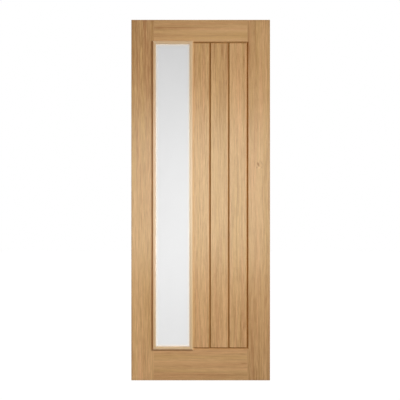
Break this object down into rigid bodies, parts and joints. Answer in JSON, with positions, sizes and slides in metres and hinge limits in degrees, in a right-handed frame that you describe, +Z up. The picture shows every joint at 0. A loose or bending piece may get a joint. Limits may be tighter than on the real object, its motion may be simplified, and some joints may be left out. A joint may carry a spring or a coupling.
{
  "type": "glazed internal door leaf",
  "caption": "Oak veneered internal door leaf with V-jointed vertical boards beside a tall frosted glass strip held by mitred beads.",
  "frame": {"origin": "foot of the hinge edge, in the middle of the leaf's thickness", "axes": "+Z up, +X out of the hinge edge, so the leaf reaches towards -X; the front face looks towards -Y"},
  "size_m": [0.762, 0.051, 1.981],
  "materials": {
    "oak_veneer": "satin",
    "solid_oak": "satin",
    "oak_bead": "satin",
    "laminated_core": "matte",
    "board_core": "matte",
    "frosted_glass": "satin",
    "glazing_tape": "matte"
  },
  "bodies": {
    "root": {"left_stile_core": "laminated_core", "left_stile_outer_lipping": "solid_oak", "left_stile_inner_lipping": "solid_oak", "left_stile_front_veneer": "oak_veneer", "left_stile_back_veneer": "oak_veneer", "right_stile_core": "laminated_core", "right_stile_outer_lipping": "solid_oak", "right_stile_inner_lipping": "solid_oak", "right_stile_front_veneer": "oak_veneer", "right_stile_back_veneer": "oak_veneer", "top_rail_core": "laminated_core", "top_rail_lipping": "solid_oak", "top_rail_front_veneer": "oak_veneer", "top_rail_back_veneer": "oak_veneer", "bottom_rail_core": "laminated_core", "bottom_rail_lipping": "solid_oak", "bottom_rail_front_veneer": "oak_veneer", "bottom_rail_back_veneer": "oak_veneer", "board_1_core": "board_core", "board_1_front_veneer": "oak_veneer", "board_1_back_veneer": "oak_veneer", "board_2_core": "board_core", "board_2_front_veneer": "oak_veneer", "board_2_back_veneer": "oak_veneer", "board_3_core": "board_core", "board_3_front_veneer": "oak_veneer", "board_3_back_veneer": "oak_veneer", "glazing_edge_lipping": "solid_oak", "glass_pane": "frosted_glass", "front_glazing_tape": "glazing_tape", "front_left_bead": "oak_bead", "front_right_bead": "oak_bead", "front_top_bead": "oak_bead", "front_bottom_bead": "oak_bead", "back_glazing_tape": "glazing_tape", "back_left_bead": "oak_bead", "back_right_bead": "oak_bead", "back_top_bead": "oak_bead", "back_bottom_bead": "oak_bead"}
  },
  "joints": []
}
